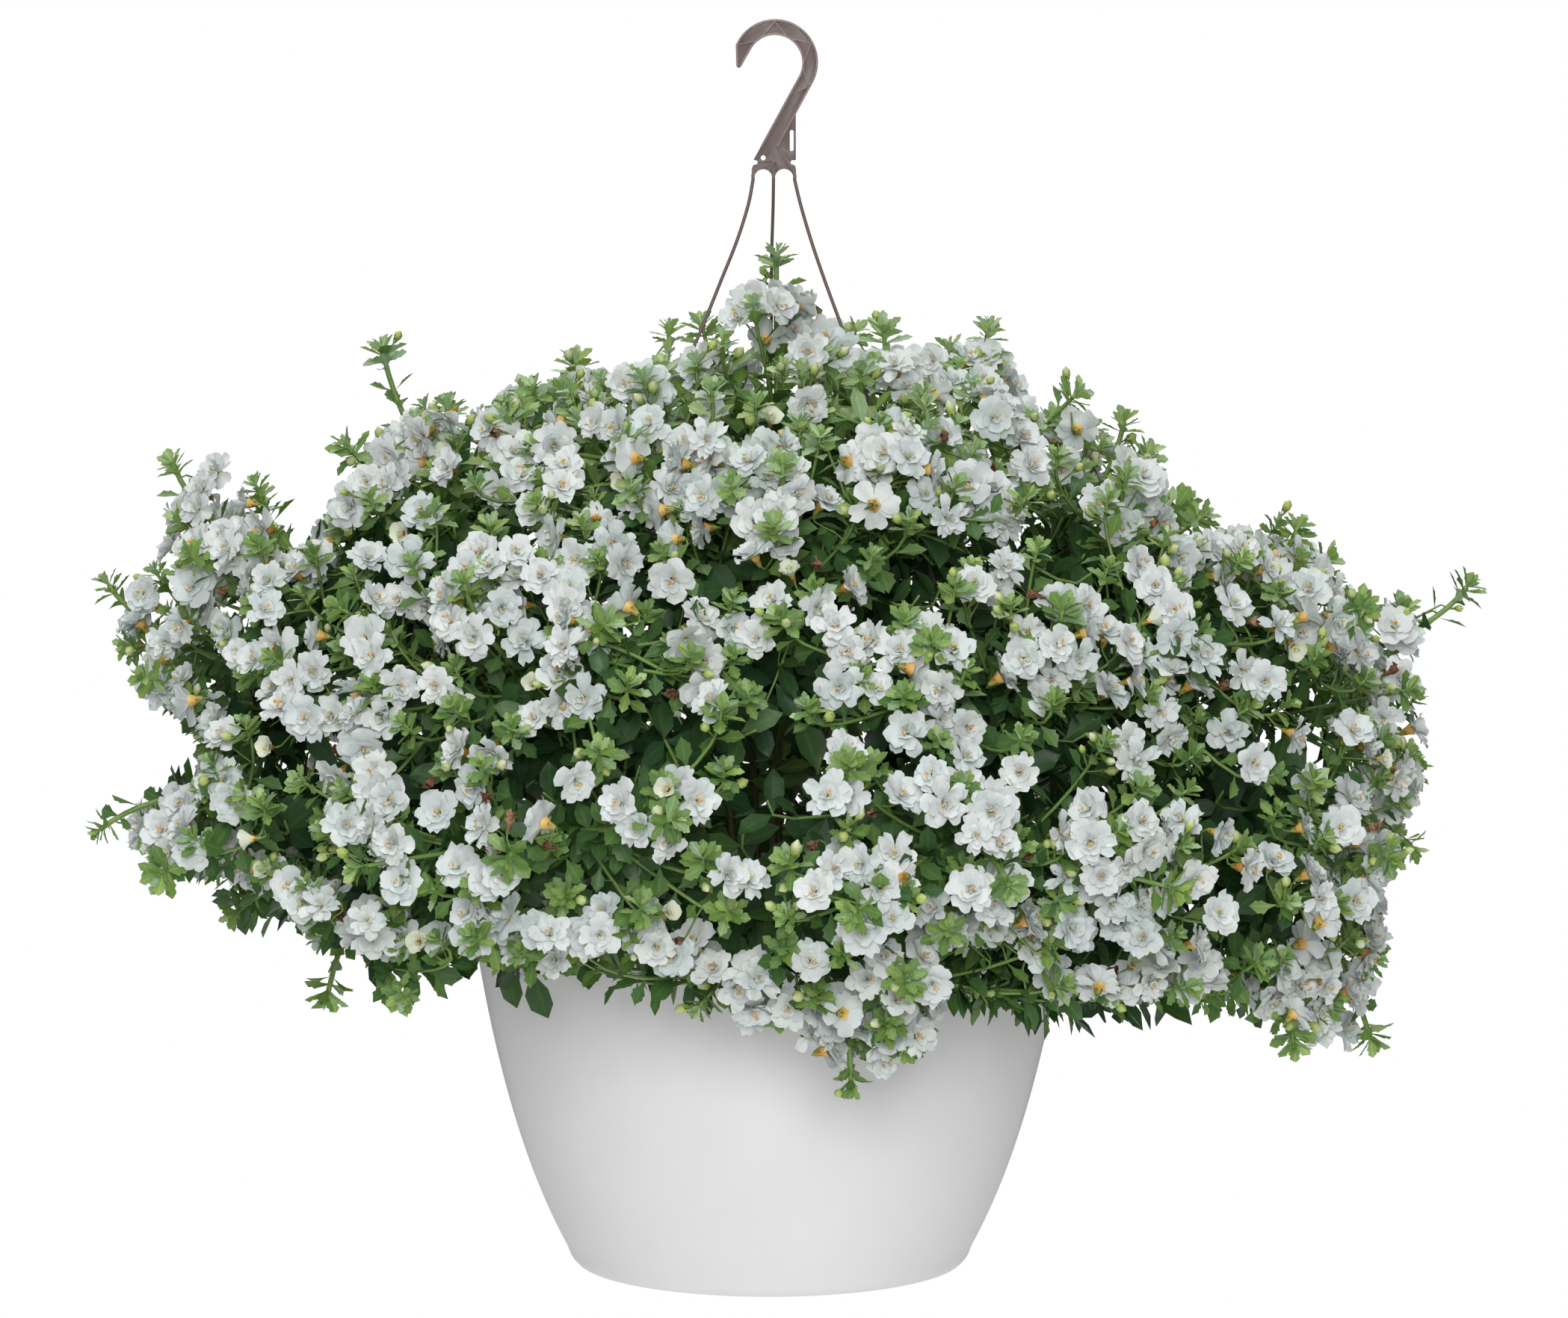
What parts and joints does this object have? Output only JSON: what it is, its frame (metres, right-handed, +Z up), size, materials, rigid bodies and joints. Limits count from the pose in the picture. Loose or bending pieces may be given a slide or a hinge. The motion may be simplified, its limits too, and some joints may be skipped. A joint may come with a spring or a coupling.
{
  "type": "potted bacopa in a hanging pot",
  "caption": "White double-flowered bacopa mounding over and trailing from a white bowl-shaped hanging pot on a brown three-legged hanger with a hook.",
  "frame": {"origin": "middle of the pot's flat underside", "axes": "+Z up through the pot towards the hook, -Y towards the front that the picture shows, +X to the right seen from the front"},
  "size_m": [0.631, 0.602, 0.5502],
  "materials": {
    "pot_plastic": "satin white moulded",
    "hanger_plastic": "satin brown moulded",
    "potting_mix": "loose and matte",
    "foliage": "soft leaf, slightly glossy",
    "petal": "soft matte petal"
  },
  "bodies": {
    "root": {"pot": "pot_plastic", "soil": "potting_mix", "hanger_hook": "hanger_plastic", "hanger_leg_left": "hanger_plastic", "hanger_leg_right": "hanger_plastic", "hanger_leg_back": "hanger_plastic", "shoot_01": "foliage", "shoot_02": "foliage", "shoot_03": "foliage", "shoot_04": "foliage", "shoot_05": "foliage", "shoot_06": "foliage", "shoot_07": "foliage", "shoot_08": "foliage", "shoot_09": "foliage", "shoot_10": "foliage", "shoot_11": "foliage", "shoot_12": "foliage", "shoot_13": "foliage", "shoot_14": "foliage", "shoot_15": "foliage", "shoot_16": "foliage", "shoot_17": "foliage", "shoot_18": "foliage", "shoot_19": "foliage", "shoot_20": "foliage", "shoot_21": "foliage", "shoot_22": "foliage", "shoot_23": "foliage", "shoot_24": "foliage", "shoot_25": "foliage", "shoot_26": "foliage", "flower_truss_01": "petal", "flower_truss_02": "petal", "flower_truss_03": "petal", "flower_truss_04": "petal", "flower_truss_05": "petal", "flower_truss_06": "petal", "flower_truss_07": "petal", "flower_truss_08": "petal", "flower_truss_09": "petal", "flower_truss_10": "petal", "flower_truss_11": "petal", "flower_truss_12": "petal", "flower_truss_13": "petal", "flower_truss_14": "petal", "flower_truss_15": "petal", "flower_truss_16": "petal", "flower_truss_17": "petal", "flower_truss_18": "petal", "flower_truss_19": "petal", "flower_truss_20": "petal", "flower_truss_21": "petal", "flower_truss_22": "petal", "flower_truss_23": "petal", "flower_truss_24": "petal", "flower_truss_25": "petal", "flower_truss_26": "petal"}
  },
  "joints": []
}
